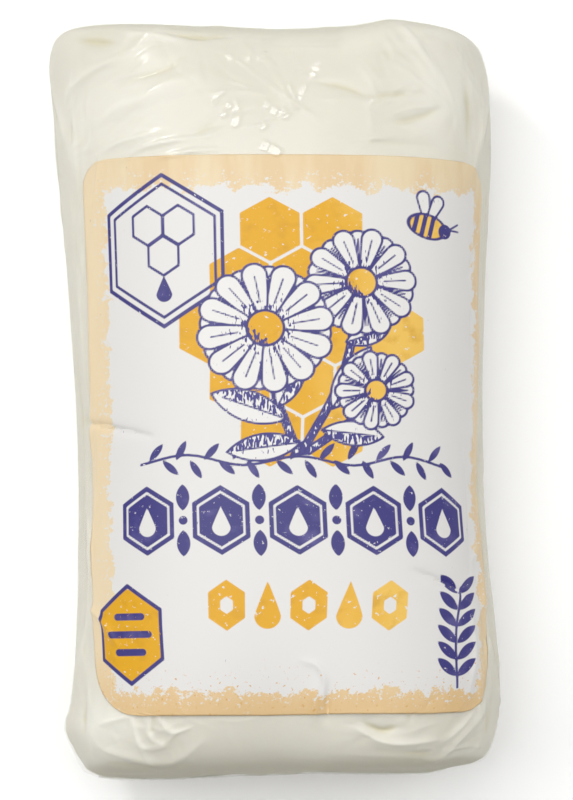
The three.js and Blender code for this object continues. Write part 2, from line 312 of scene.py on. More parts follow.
# Finer folds, drawn by lot where the shrinking film is under tension: middle and spread of each
# patch on top in millimetres, direction in degrees and its spread, number, width and height
TENSION = [
    ((-17, 35.5), (5, 4), 38, 12, 34, (0.19, 0.48), 0.11),
    ((-11, 29.5), (6, 1.6), 14, 6, 16, (0.19, 0.4), 0.13),
    ((-2, 36), (4, 4), -48, 28, 18, (0.15, 0.36), 0.15),
    ((18, 38), (4.5, 3.5), -56, 14, 30, (0.19, 0.56), 0.15),
    ((14.5, 31), (5, 2.5), 14, 16, 18, (0.19, 0.44), 0.11),
    ((23.5, 31), (1.2, 6), -80, 8, 10, (0.19, 0.4), 0.14),
    ((-23, 27), (1.2, 7), 84, 8, 12, (0.22, 0.48), 0.2),
    ((-16, -40), (5, 2), -35, 30, 26, (0.19, 0.48), 0.1),
    ((-22.5, -33), (1, 4), 88, 8, 10, (0.19, 0.4), 0.2),
    ((20.5, -40), (3.5, 2.5), 48, 14, 26, (0.19, 0.48), 0.1),
    ((24.5, -31), (0.9, 5), 86, 8, 10, (0.19, 0.4), 0.2),
    ((12, -39.5), (4, 1.5), 4, 14, 12, (0.19, 0.4), 0.1),
    ((-22.4, -41.2), (1.2, 1.2), -40, 35, 14, (0.15, 0.3), 0.15),
    ((23.4, -40.4), (1, 1.2), 50, 30, 12, (0.15, 0.3), 0.15),
    ((-21.3, -16), (0.5, 9), 90, 4, 22, (0.2, 0.4), 0.32),
    ((-22.9, 16), (0.6, 8), 94, 4, 18, (0.2, 0.4), 0.3),
    ((24.4, -26), (0.5, 6), 88, 5, 14, (0.2, 0.4), 0.3),
    ((23.4, 5), (0.3, 12), 90, 4, 14, (0.2, 0.4), 0.24),
]
TENSION_HALF_LENGTHS = (1, 4)
TENSION_BOW = 0.12
GROOVE_OR_CREST = [-0.7, 1]


def tension_folds():
    """The finer folds of the tension patches: face, route, width, height."""
    lot = np.random.default_rng(11)
    made = []
    for middle, spread_mm, degrees, jitter, number, widths, height in TENSION:
        for _ in range(number):
            x, y = lot.normal(middle, spread_mm)
            course = math.radians(lot.normal(degrees, jitter))
            half = lot.uniform(*TENSION_HALF_LENGTHS)
            bow = lot.normal(0, TENSION_BOW) * half
            along = half * np.array([math.cos(course), math.sin(course)])
            across = bow * np.array([-math.sin(course), math.cos(course)])
            route = [(x, y) - along, (x, y) + across, (x, y) + along]
            width = lot.uniform(*widths)
            made.append(("top", route, width, height * lot.choice(GROOVE_OR_CREST) * lot.uniform(0.4, 1)))
    return made


# Heights that the pleats reach, the height of the seals that they start from, their reach and
# depth, and how far out the sides' and the ends' pleats start
PLEAT_HEIGHTS = (3.5, 8.5, 17.5, 23)
PLEAT_START = 10.2
PLEAT_LONG = 17
PLEAT_SHORT = 10
PLEAT_DEPTH = 0.45
SIDE_EDGE = 42
END_EDGE = 23


def pleats():
    """Pleats from the seals' ends, onto the sides and across the ends: face, route, width, height."""
    made = []
    for end in (-1, 1):
        for i, z in enumerate(PLEAT_HEIGHTS):
            reach = PLEAT_LONG if i % 2 else PLEAT_SHORT
            height = PLEAT_DEPTH if i % 2 else -PLEAT_DEPTH
            start = PLEAT_START + (z - PLEAT_START) * 0.3
            middle = (start + z) / 2 + (0.8 if z < PLEAT_START else -0.8) * -end
            end_face = "head" if end > 0 else "foot"
            for face, side, edge in (("left", end, SIDE_EDGE), ("right", end, SIDE_EDGE),
                                     (end_face, -1, END_EDGE), (end_face, 1, END_EDGE)):
                far = edge - reach
                route = [(side * edge, start), (side * (edge + far) / 2, middle), (side * far, z)]
                made.append((face, route, 1.0, height))
    return made


# Finer folds: how many on each side and end, and the seal's edges that those of the ends leave
SIDE_NUMBER = 26
SIDE_HALF_LENGTHS = (4, 13)
SIDE_HEIGHTS = (0.12, 0.36)
END_NUMBER = 34
END_HEIGHTS = (0.05, 0.13)
SEAL_EDGES = [13.4, 7.2]


def side_folds():
    """Finer folds, drawn by lot: along the sides, and up and down from the seals on the ends."""
    lot = np.random.default_rng(7)
    made = []
    for face in ("left", "right"):
        for _ in range(SIDE_NUMBER):
            y, z = lot.uniform(-36, 36), lot.uniform(2.5, 24)
            long = lot.uniform(*SIDE_HALF_LENGTHS)
            route = [(y - long, z + lot.normal(0, 0.7)), (y, z + lot.normal(0, 0.5)), (y + long, z)]
            width = lot.uniform(0.35, 0.8)
            made.append((face, route, width, lot.choice(GROOVE_OR_CREST) * lot.uniform(*SIDE_HEIGHTS)))
    for face in ("head", "foot"):
        for _ in range(END_NUMBER):
            x = lot.uniform(-22, 22)
            z = lot.choice(SEAL_EDGES)
            tip = z + (lot.uniform(3, 9) if z > PLEAT_START else -lot.uniform(2, 5))
            route = [(x, z), (x + lot.normal(0, 0.8), (z + tip) / 2), (x + lot.normal(0, 1.6), tip)]
            made.append((face, route, lot.uniform(0.35, 0.7), lot.uniform(*END_HEIGHTS)))
    return made


def face_plans(p, n):
    """For each face, its plan coordinates and how much each point belongs to it."""
    return {
        "top": (p[:, 0], p[:, 1], ease(0.15, 0.5, n[:, 2])),
        "left": (p[:, 1], p[:, 2], ease(0.4, 0.75, -n[:, 0])),
        "right": (p[:, 1], p[:, 2], ease(0.4, 0.75, n[:, 0])),
        "head": (p[:, 0], p[:, 2], ease(0.4, 0.75, n[:, 1])),
        "foot": (p[:, 0], p[:, 2], ease(0.4, 0.75, -n[:, 1])),
    }


def soft_route(points, steps=6):
    """Points on a smooth curve through the few that a route gives."""
    points = np.array(points, float)
    ends = np.vstack([2 * points[0] - points[1], points, 2 * points[-1] - points[-2]])
    made = []
    for a, b, c, d in zip(ends, ends[1:], ends[2:], ends[3:]):
        for t in np.arange(steps) / steps:
            made.append(0.5 * (2 * b + (c - a) * t + (2 * a - 5 * b + 4 * c - d) * t**2
                               + (3 * b - a - 3 * c + d) * t**3))
    return np.array(made + [points[-1]])


def distance_along(points):
    """The way along a line to each of its points."""
    return np.concatenate([[0], np.cumsum(np.linalg.norm(np.diff(points, axis=0), axis=1))])


def from_stretch(points, start, stop):
    """How far points lie from a straight stretch, and the place on it that is nearest, 0 to 1."""
    way = stop - start
    t = np.clip((points - start) @ way / (way @ way), 0, 1)
    return np.linalg.norm(points - start - t[:, None] * way, axis=1), t


def from_line(points, line):
    """How far points lie from a line of such stretches."""
    return np.min([from_stretch(points, *stretch)[0] for stretch in zip(line, line[1:])], axis=0)


def fold(u, v, route, width, height):
    """Height of a fold over plan points: a crest along the route that fades at its ends."""
    line = soft_route(route)
    margin = 5 * width
    near = ((u > line[:, 0].min() - margin) & (u < line[:, 0].max() + margin)
            & (v > line[:, 1].min() - margin) & (v < line[:, 1].max() + margin))
    out = np.zeros(len(u))
    if not near.any():
        return out
    points = np.stack([u[near], v[near]], axis=-1)
    best = np.full(len(points), np.inf)
    place = np.zeros(len(points))
    before = distance_along(line)
    for start, stop, long, done in zip(line, line[1:], np.diff(before), before):
        away, t = from_stretch(points, start, stop)
        nearer = away < best
        best[nearer] = away[nearer]
        place[nearer] = (done + t[nearer] * long) / before[-1]
    fade = np.sin(math.pi * (0.1 + 0.8 * place))
    edge = 0.22 * width
    out[near] = height * fade * np.exp(-(np.sqrt(best**2 + edge**2) - edge) / (0.62 * width))
    return out


SHARED_FOLDS = [("top", *row) for row in TOP_FOLDS] + pleats() + tension_folds() + side_folds()
# A flap of film lies folded over the head's right: where it starts, how it leans and its step
FLAP_LEFT = 8.4
FLAP_FOOT = 39.4
FLAP_SLOPE = 0.12
FLAP_HEIGHT = 0.22


def shared_relief(p, n):
    """Height of the folds that show in film and cheese alike."""
    plans = face_plans(p, n)
    total = np.zeros(len(p))
    for face, route, width, height in SHARED_FOLDS:
        u, v, share = plans[face]
        total += share * fold(u, v, route, width, height)
    right = p[:, 0] - FLAP_LEFT
    over = p[:, 1] - FLAP_FOOT - FLAP_SLOPE * right
    raised = ease(-1.2, 0.3, right) * ease(-1.4, 0.3, over) * ease(-0.1, 0.2, n[:, 2])
    return total + FLAP_HEIGHT * raised


def read(elements, name, count=3, kind=float):
    """The values of a mesh's vertices, edges or faces, such as their places in metres."""
    values = np.empty(count * len(elements), dtype=kind)
    elements.foreach_get(name, values)
    return values.reshape(-1, count)


def divide(piece, kind, chosen, cuts):
    """Divides the chosen edges or faces of the active piece."""
    bpy.ops.object.mode_set(mode="EDIT")
    bpy.ops.mesh.select_mode(type=kind)
    bpy.ops.mesh.select_all(action="DESELECT")
    bpy.ops.object.mode_set(mode="OBJECT")
    (piece.data.edges if kind == "EDGE" else piece.data.polygons).foreach_set("select", chosen)
    bpy.ops.object.mode_set(mode="EDIT")
    bpy.ops.mesh.subdivide(number_cuts=cuts)
    bpy.ops.object.mode_set(mode="OBJECT")


def turn_faces_round():
    """Turns the active piece's faces round."""
    bpy.ops.object.mode_set(mode="EDIT")
    bpy.ops.mesh.select_all(action="SELECT")
    bpy.ops.mesh.flip_normals()
    bpy.ops.object.mode_set(mode="OBJECT")


def barrel(name, columns, parts):
    """A closed barrel to be thrown over the log, which turns it over. It has a multiple of 4 columns,
    and its rows are cut in steps, each into so many parts."""
    made = started(name, bpy.ops.mesh.primitive_cylinder_add, vertices=columns, radius=1, depth=2,
                   end_fill_type="TRIFAN")
    for number in parts:
        height = read(made.data.vertices, "co")[read(made.data.edges, "vertices", 2, np.int32), 2]
        upright = np.abs(height[:, 0] - height[:, 1]) > 1e-4
        divide(made, "EDGE", upright, number - 1)
    turn_faces_round()
    return made


def outward(piece, places):
    """Moves a piece's vertices, in millimetres, and gives the normals that the mesh then has."""
    move_vertices(piece, places * MM)
    return read(piece.data.vertices, "normal")


def move_vertices(piece, places):
    """Puts a piece's vertices at places in metres."""
    piece.data.vertices.foreach_set("co", np.ascontiguousarray(places, dtype=np.float32).ravel())
    piece.data.update()


def pick_up(piece):
    """Selects one piece alone and makes it the active one."""
    bpy.ops.object.select_all(action="DESELECT")
    piece.select_set(True)
    bpy.context.view_layer.objects.active = piece


def shade_smooth(piece):
    """Rounds a piece's shading."""
    pick_up(piece)
    bpy.ops.object.shade_smooth()


def note(piece, name, values):
    """Keeps a value at each vertex for the piece's material."""
    piece.data.attributes.new(name, "FLOAT", "POINT").data.foreach_set("value", values)


def spread(stations, gaps, count):
    """Places for count steps over the stations, with steps in proportion to the wanted gaps."""
    total = np.concatenate([[0], np.cumsum(np.diff(stations) / ((gaps[1:] + gaps[:-1]) / 2))])
    return np.interp(np.linspace(0, total[-1], count + 1), total, stations)


def log_directions(piece, columns, rows):
    """Section angle, and the way towards the ends: place between them and reach from the middle
    line, one of the two being full, for a barrel's vertices. Cells are fine where folds are."""
    places = read(piece.data.vertices, "co")
    turn = np.linspace(-math.pi, math.pi, 2881)
    section = smooth_log(turn, np.zeros(len(turn)), FILM_CORNERS)
    arc = distance_along(section)
    height = section[:, 2]
    fineness = 0.25 + 0.22 * ease(24, 16, height) + 1.1 * ease(0.6, 0, height)
    angle_at = np.interp(spread(arc, fineness, columns), arc, turn)
    path = np.linspace(0, 1, 2001)
    face, foot_strip, head_strip = 0.13, 0.195, 0.27
    coarser = ease(foot_strip, foot_strip + 0.04, path) * ease(head_strip, head_strip + 0.04, 1 - path)
    fine = 1 + ease(face, 0, np.minimum(path, 1 - path)) + 1.7 * coarser
    path_at = spread(path, fine, rows)
    column = np.round(np.arctan2(places[:, 1], places[:, 0]) / (2 * math.pi) * columns)
    row = np.round((places[:, 2] + 1) / 2 * (rows - 2)).astype(int) + 1
    pole = np.hypot(places[:, 0], places[:, 1]) < 0.5
    row[pole] = np.where(places[pole, 2] < 0, 0, rows)
    at = path_at[row]
    reach = np.minimum(1, np.minimum(at, 1 - at) / face)
    between = np.clip((at - 0.5) / (0.5 - face), -1, 1)
    return angle_at[column.astype(int) % columns], between, reach


def thrown_over(angle, between, reach, corners):
    """The barrel's vertices on the log without folds."""
    square = squareness(angle, between, corners)
    size = (reach**square + np.abs(between) ** square) ** (1 / square)
    return smooth_log(angle, between / size, corners, reach / size)


# The frame's origin lies under the middle of the whole
SHIFT = np.array([-0.21, -0.254, 0])

# Patches of painted light, where the cheese is painted paler on its upward faces: middle, spread
# across and along the pack in millimetres, and how much
PAINTED_LIGHT_PATCHES = [(-20, 31.5, 8, 6, 0.4), (-2, 28, 8, 3, 0.05), (20, 34, 5, 6, 0.4), (-19, -38, 5, 4, 0.65),
       (2, -40, 9, 2.5, 0.25), (14, -39.5, 6, 2.5, 0.1)]
COLUMNS = 280
ROW_PARTS = (15, 18)
cheese = barrel("cheese_log", COLUMNS, ROW_PARTS)
angle, between, reach = log_directions(cheese, COLUMNS, math.prod(ROW_PARTS) + 2)
wrapped = thrown_over(angle, between, reach, FILM_CORNERS)
normals = outward(cheese, wrapped)
rounder = thrown_over(angle, between, reach, CHEESE_CORNERS)
hang = np.maximum(0, ((wrapped - rounder) * normals).sum(axis=1))
relief = shared_relief(wrapped, normals)
places = wrapped + normals * (relief - hang - CHEESE_UNDER_FILM)[:, None]
places[:, 2] = np.maximum(places[:, 2], CHEESE_UNDER_FILM)
move_vertices(cheese, (places + SHIFT) * MM)
shade_smooth(cheese)
# Painted light and shade: grooves painted darker as shade, crests painted paler as light, and the ends
# painted darker as shade
GROOVE_SHADE_SHARE, LIT_CREST_SHARE, FOOT_SHADE_SHARE, HEAD_SHADE_SHARE = 0.7, 0.2, 0.45, 0.25
facing_foot, facing_head = ease(0.6, 1.02, -normals[:, 1]), ease(0.6, 1.02, normals[:, 1])
# Painted shade in the grooves
note(cheese, "painted_groove_shade", GROOVE_SHADE_SHARE * ease(0.02, 0.3, -relief))
# Painted shade on the ends, more at the foot than at the head
note(cheese, "painted_end_shade", FOOT_SHADE_SHARE * facing_foot + HEAD_SHADE_SHARE * facing_head)
# Painted light on the crests, and in patches on upward faces
painted_light = LIT_CREST_SHARE * ease(0.03, 0.4, relief)
upward = ease(0.2, 0.7, normals[:, 2])
for x, y, across, along, amount in PAINTED_LIGHT_PATCHES:
    painted_light += amount * swell(wrapped[:, 0], x, across) * swell(wrapped[:, 1], y, along) * upward
note(cheese, "painted_light", painted_light)

# Fresh goat cheese, moulded: dense and slightly moist, so light sinks in a little and shadows
# stay warm. It is even, with faint cloudy patches and fine curd grain.
curd, curd_out = new_material("fresh_goat_cheese")
where = node(curd, "TexCoord").outputs["Object"]
CLOUD_MM = 9
GRAIN_MM = 0.5
clouds = node(curd, "TexNoise", Vector=where, Scale=1 / (CLOUD_MM * MM), Detail=3)
grain = node(curd, "TexNoise", Vector=where, Scale=1 / (GRAIN_MM * MM), Detail=2)
tone = node(curd, "Mix", {"data_type": "RGBA"}, _0=clouds,
            _6=linear("d7d3c6"), _7=linear("dddacf"))
# Painted light, and painted shade on the ends and in the grooves, mixed over the cheese's own tone
for name, colour in (("painted_light", "f2f1e9"), ("painted_end_shade", "8f8862"), ("painted_groove_shade", "cdc6a6")):
    share = node(curd, "Attribute", {"attribute_name": name})
    tone = node(curd, "Mix", {"data_type": "RGBA"}, _0=share.outputs["Fac"],
                _6=tone.outputs["Result"], _7=linear(colour))
rough = node(curd, "MapRange", Value=grain, To_Min=0.4, To_Max=0.6)
pits = node(curd, "Bump", Height=grain, Strength=0.12, Distance=0.1 * MM)
body = node(curd, "BsdfPrincipled", Base_Color=tone.outputs["Result"], Roughness=rough,
            Normal=pits, Specular_IOR_Level=0.05, Subsurface_Weight=0.2,
            Subsurface_Radius=(1.0, 0.8, 0.5), Subsurface_Scale=0.7 * MM)
surface(curd, curd_out, body)
cheese.data.materials.append(curd)
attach(cheese, "root")
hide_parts("wrapped_log")

# Film
# Clear shrink film, vacuumed and shrunk onto the cheese. It lies in every fold, crumples by itself
# near the head, where there was too much of it, and stands off the cheese at the four corners.
film = barrel("film", COLUMNS, ROW_PARTS)
# Small facets that the crumpled film turns to the key lamp: a route on top, and half a width
GLINTS = [
    ([(-5.8, 33.9), (-6.46, 33.4), (-6.56, 32.8)], 0.31),
    ([(-4.9, 38.2), (-4.8, 38.1)], 0.46),
    ([(-4, 37.5), (-2.4, 37.9), (-0.9, 38.3)], 0.26),
    ([(-4.3, 32.6), (-4.1, 31.2), (-4.2, 30.2)], 0.41),
    ([(-5.6, 31.3), (-5.5, 31.2)], 0.29),
    ([(-5.2, 32.4), (-4.9, 32.2)], 0.26),
    ([(-1.2, 30.1), (-1.1, 29.9)], 0.41),
    ([(-1.3, 27.7), (-0.4, 27.4), (0.5, 26.9)], 0.5),
    ([(-1.1, 32.8), (-0.2, 32.1), (0.6, 31.4), (1.6, 31.1)], 0.36),
    ([(1, 31.7), (1.5, 31.4)], 0.36),
    ([(1.7, 34.5), (2.2, 33.4), (2.7, 32.2)], 0.36),
    ([(3.6, 34.5), (3.1, 33.4), (2.8, 32.4)], 0.36),
    ([(5.4, 37.4), (4.4, 37), (5.2, 36.6)], 0.24),
    ([(3.5, 35.9), (4.8, 35.9)], 0.24),
    ([(11.2, 33), (11.2, 32.9)], 0.29),
]
# Soft edge of a facet, spacing of the wedges along it and its longest reach, in millimetres
GLINT_FADE = 0.3
GLINT_PITCH = 1.3
GLINT_REACH = 8
GLINT_CUTS = 3


def beside(u, v, route):
    """How far plan points lie from a route, and the way to them from the nearest place to stand a
    wedge. Such places follow each other closely along the route."""
    line = soft_route(route)
    points = np.stack([u, v], axis=-1)
    away = from_line(points, line)
    before = distance_along(line)
    number = max(1, round(before[-1] / GLINT_PITCH))
    at = (np.arange(number) + 0.5) / number * before[-1]
    stands = np.stack([np.interp(at, before, line[:, 0]), np.interp(at, before, line[:, 1])], axis=-1)
    offsets = points[:, None] - stands
    nearest = np.argmin(np.linalg.norm(offsets, axis=-1), axis=1)
    return away, offsets[np.arange(len(points)), nearest]


def slopes(directions):
    """How far directions lean across and along the pack for each step up."""
    return directions[..., :2] / directions[..., 2:]


outward(film, wrapped + normals * relief[:, None])
note(film, "loose", ease(0.25, 1.5, hang))
centres = read(film.data.polygons, "center") / MM
creased = np.zeros(len(centres), dtype=bool)
for route, half_wide in GLINTS:
    away, _ = beside(centres[:, 0], centres[:, 1], route)
    creased |= (away < half_wide + GLINT_FADE) & (centres[:, 2] > WIDEST_HEIGHT)
divide(film, "FACE", creased, GLINT_CUTS)
places = read(film.data.vertices, "co") / MM
normals = outward(film, places)
u, v, share = face_plans(places, normals)["top"]
key, eye = (np.array(direction) / np.linalg.norm(direction)
            for direction in (KEY, (0, -math.sin(CAMERA_TILT), math.cos(CAMERA_TILT))))
crumpled = np.zeros(len(places))
for route, half_wide in GLINTS:
    close = np.flatnonzero((np.hypot(u - route[0][0], v - route[0][1]) < GLINT_REACH) & (share > 0))
    away, offset = beside(u[close], v[close], route)
    tilt = slopes(key + eye) - slopes(normals[close[away < half_wide]].mean(axis=0))
    wedge = np.maximum(0, half_wide * np.linalg.norm(tilt) - offset @ tilt)
    wedge *= ease(half_wide + GLINT_FADE, half_wide, away)
    crumpled[close] = np.maximum(crumpled[close], wedge)
places += normals * crumpled[:, None]
places[:, 2] = np.maximum(places[:, 2], 0)
move_vertices(film, (places + SHIFT) * MM)
shade_smooth(film)

# Clear polyolefin shrink film, blown and glossy: almost only its reflections show where it clings,
# and it turns milky where two layers meet or air lies between it and the cheese.
shrink, shrink_out = new_material("clear_shrink_film")
where = node(shrink, "TexCoord").outputs["Object"]
CRINKLE_MM = 1.5
crinkle = node(shrink, "TexNoise", Vector=where, Scale=1 / (CRINKLE_MM * MM), Detail=1,
               Distortion=0.6)
ripple = node(shrink, "Bump", Height=crinkle, Strength=0.15, Distance=0.06 * MM)
gap = node(shrink, "Attribute", {"attribute_name": "loose"})
milky = node(shrink, "MapRange", Value=gap.outputs["Fac"], To_Min=0.03, To_Max=0.4)
clear = node(shrink, "BsdfTransparent", Color=(0.985, 0.985, 0.975, 1))
haze = node(shrink, "BsdfDiffuse", Color=linear("eeecdc"), Normal=ripple)
sheet = node(shrink, "MixShader", _0=milky, _1=clear, _2=haze)
sheen = node(shrink, "BsdfGlossy", Color=(1, 1, 1, 1), Roughness=0.42)
spark = node(shrink, "BsdfGlossy", Color=(1, 1, 1, 1), Roughness=0.2, Normal=ripple)
gloss = node(shrink, "MixShader", _0=0.5, _1=sheen, _2=spark)
mirrored = node(shrink, "Fresnel", IOR=1.5)
MIRRORED_AT_MOST = 0.05
held = node(shrink, "Math", {"operation": "MINIMUM"}, _0=mirrored, _1=MIRRORED_AT_MOST)
surface(shrink, shrink_out, node(shrink, "MixShader", _0=held, _1=sheet, _2=gloss))
film.data.materials.append(shrink)
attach(film, "root")
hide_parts("wrapped_log")

# Seals
# Where the tube of film was welded shut at each end, a crimped band of two layers is folded down
# against the cheese. Its two corners are gathered into the pleats.
SEAL_GRID = {"x_subdivisions": 240, "y_subdivisions": 22}
SEAL_HALF_LENGTH = 20.3
SEAL_LOW = 7.0
SEAL_HIGH = 12.4
SEAL_GATHERED = 1.6
SEAL_THICKNESS = 0.1
SEAL_OFF_FILM = 0.05
SEAL_HAZE = 0.04
CRIMP_PITCH = 1.2
CRIMP_HEIGHT = 0.03


def on_end(x, z, end):
    """The end's points at x and z, on the log without folds."""
    width = np.where(x < 0, half_width(43 * end, STATION_LEFT), half_width(43 * end, STATION_RIGHT))
    up = np.where(z > WIDEST_HEIGHT, THICKNESS - WIDEST_HEIGHT, WIDEST_HEIGHT + SQUASH)
    u, v = x / width, (z - WIDEST_HEIGHT) / up
    roundness = np.where(v >= 0, ROUND_ABOVE, ROUND_BELOW)
    r = (np.abs(u) ** roundness + np.abs(v) ** roundness) ** (1 / roundness)
    square = squareness(np.arctan2(v, u), end, FILM_CORNERS)
    along = (1 - np.minimum(0.999, r) ** square) ** (1 / square)
    out = end_line(x, HEAD_LINE) if end > 0 else end_line(x, FOOT_LINE)
    return np.stack([x, end * (along * LENGTH / 2 + along**6 * out), z], axis=-1)


for end_name, end in (("foot", -1), ("head", 1)):
    seal = started("seal_" + end_name, bpy.ops.mesh.primitive_grid_add, **SEAL_GRID, size=2)
    flat = read(seal.data.vertices, "co")
    x = flat[:, 0] * SEAL_HALF_LENGTH
    gathered = 1 - (1 - SEAL_GATHERED / (SEAL_HIGH - SEAL_LOW)) * ease(0.8, 1, np.abs(flat[:, 0]))
    middle = (SEAL_LOW + SEAL_HIGH) / 2
    z = middle + flat[:, 1] * gathered * (SEAL_HIGH - SEAL_LOW) / 2 + 0.25 * np.sin(x / 5.1 + end)
    places = on_end(x, z, end)
    normals = outward(seal, places)
    normals *= np.sign(normals[:, 1:2] * end)
    free = (1 - flat[:, 1]) / 2
    wave = 0.12 * np.sin(x / 2.3 + 2 * end) + 0.08 * np.sin(x / 1.1)
    crimp = CRIMP_HEIGHT * np.sin(2 * math.pi * x / CRIMP_PITCH)
    lift = SEAL_OFF_FILM + SEAL_THICKNESS / 2 + free * (0.04 + 0.3 * wave) * gathered
    lift += crimp * ease(0, 0.3, free)
    places += normals * (shared_relief(places, normals) + lift)[:, None]
    move_vertices(seal, (places + SHIFT) * MM)
    wall = seal.modifiers.new("two_layers", "SOLIDIFY")
    wall.thickness = SEAL_THICKNESS * MM
    wall.offset = 0
    bpy.ops.object.modifier_apply(modifier=wall.name)
    shade_smooth(seal)
    note(seal, "loose", np.full(len(seal.data.vertices), SEAL_HAZE))
    seal.data.materials.append(shrink)
    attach(seal, "root")
    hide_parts("wrapped_log")

# Label
# A printed paper sticker with round corners, pressed on over the crown and the right shoulder. It
# is thin enough to take on the folds of the film under it.

# Section degrees of its left and right edges, by millimetres from its foot
LABEL_LEFT = ([0, 5, 12, 16, 28, 36, 48, 63.5], [145, 145.8, 148, 149.4, 150, 149.4, 147, 145.5])
LABEL_RIGHT = ([0, 5, 10, 16, 24, 34, 42, 50, 63.5], [28, 27.4, 26, 22, 22, 20, 20, 22, 23.5])
# Millimetres: flat width, both ends along the pack, corner radii left and right, and thickness
LABEL_WIDTH = 48.5
LABEL_HEAD = 26.6
LABEL_FOOT = -36.9
LABEL_HEIGHT = LABEL_HEAD - LABEL_FOOT
LABEL_CORNERS = {"foot": (6.5, 4), "head": (3.5, 4)}
LABEL_LIFT = 0.03
PAPER_THICKNESS = 0.08
TOP_STEP = 0.19
BACK_STEP = 4 * TOP_STEP


def label_place(flat, lift):
    """Places on the pack for points of the flat label, in millimetres from its left foot corner."""
    angle = np.empty(len(flat))
    fan = np.radians(np.linspace(155, 5, 400))
    for height in np.unique(flat[:, 1]):
        row = flat[:, 1] == height
        section = smooth_log(fan, np.full(len(fan), (LABEL_FOOT + height) / (LENGTH / 2)), FILM_CORNERS)
        paper = distance_along(section)
        left, right = (np.interp(-math.radians(np.interp(height, *edge)), -fan, paper)
                       for edge in (LABEL_LEFT, LABEL_RIGHT))
        angle[row] = np.interp(left + flat[row, 0] / LABEL_WIDTH * (right - left), paper, fan)
    along = (LABEL_FOOT + flat[:, 1]) / (LENGTH / 2)
    p = smooth_log(angle, along, FILM_CORNERS)
    n = log_normal(angle, along, FILM_CORNERS)
    return p + n * (shared_relief(p, n) + lift)[:, None]


def label_sheet(name, step):
    """A flat sheet, divided about every step millimetres, with round corners. Gives its points."""
    sheet = started(name, bpy.ops.mesh.primitive_grid_add, x_subdivisions=round(LABEL_WIDTH / step),
                    y_subdivisions=round(LABEL_HEIGHT / step), size=2)
    flat = (read(sheet.data.vertices, "co")[:, :2] + 1) / 2 * (LABEL_WIDTH, LABEL_HEIGHT)
    share = flat[:, 0] / LABEL_WIDTH
    cuts = []
    for side in (0, 1):
        radius = np.where(flat[:, 1] > LABEL_HEIGHT / 2,
                          LABEL_CORNERS["head"][side], LABEL_CORNERS["foot"][side])
        into = np.clip(radius - np.minimum(flat[:, 1], LABEL_HEIGHT - flat[:, 1]), 0, radius)
        cuts.append(radius - np.sqrt(radius**2 - into**2))
    flat[:, 0] = cuts[0] + share * (LABEL_WIDTH - cuts[0] - cuts[1])
    return sheet, flat


# The print. Every shape gives how many millimetres inside it points of the flat label lie.
NOWHERE = -9.0
HEXAGON_FLAT = 0.866  # from its middle to a side, where a corner is 1 away
CELL = 3.9
LEAVES = [(23.6, 33.2, 8.6, 3.4, 160), (28.4, 34.4, 8.2, 3.2, 60), (22.6, 34.6, 6.2, 2.6, 66),
          (27.4, 32.0, 6.8, 2.7, -6), (25.2, 30.6, 8.0, 3.0, 188), (29.8, 42.0, 5.2, 2.2, 20)]


def disc(p, x, y, radius, tall=1.0):
    """How far inside a disc, or an oval that is taller by the given share, points lie."""
    return radius - np.hypot(p[:, 0] - x, (p[:, 1] - y) / tall)


def hexagon(p, x, y, radius, tall=1.0):
    """The same for a hexagon with a corner on top, from middle to corner radius."""
    u, v = np.abs(p[:, 0] - x), np.abs(p[:, 1] - y) / tall
    return radius * HEXAGON_FLAT - np.maximum(u, u * 0.5 + v * HEXAGON_FLAT)


def turned(p, x, y, degrees):
    """Points by their way along and across a direction from x, y."""
    c, s = math.cos(math.radians(degrees)), math.sin(math.radians(degrees))
    return (p[:, 0] - x) * c + (p[:, 1] - y) * s, (p[:, 1] - y) * c - (p[:, 0] - x) * s


def away_from(x, y, reach, degrees):
    """The point that lies so far from x, y in a direction."""
    return x + reach * math.cos(math.radians(degrees)), y + reach * math.sin(math.radians(degrees))


def leaf(p, x, y, length, width, degrees):
    """The same for a pointed leaf that starts at x, y."""
    along_it, across = turned(p, x, y, degrees)
    radius = (length**2 / 4 + width**2 / 4) / width
    return radius - np.hypot(along_it - length / 2, np.abs(across) + radius - width / 2)


def petal(p, x, y, start, length, width, degrees):
    """The same for a round-tipped petal that starts away from its blossom's middle."""
    along_it, across = turned(p, x, y, degrees)
    t = np.clip((along_it - start) / length, 0, 1)
    half = width / 2 * np.sqrt(0.12 + 0.88 * t)
    return half - np.hypot(along_it - np.clip(along_it, start, start + length - width / 2), across)


def stroke(p, points, width):
    """The same for a line of a width through points."""
    return width / 2 - from_line(p, np.array(points, float))


def drop(p, x, y, radius, tip):
    """The same for a hanging drop: a round belly with a tip above."""
    u, v = np.abs(p[:, 0] - x), p[:, 1] - y
    t = np.clip(v / tip, 0, 1)
    flank = radius * (1 - t) ** 0.8 * np.sqrt(1 - t * t * 0.6)
    return np.where(v < 0, radius - np.hypot(u, v), flank - u - 0.4 * np.maximum(0, v - tip))


def rim(inside, width):
    """The line along the edge of a shape."""
    return width / 2 - np.abs(inside)


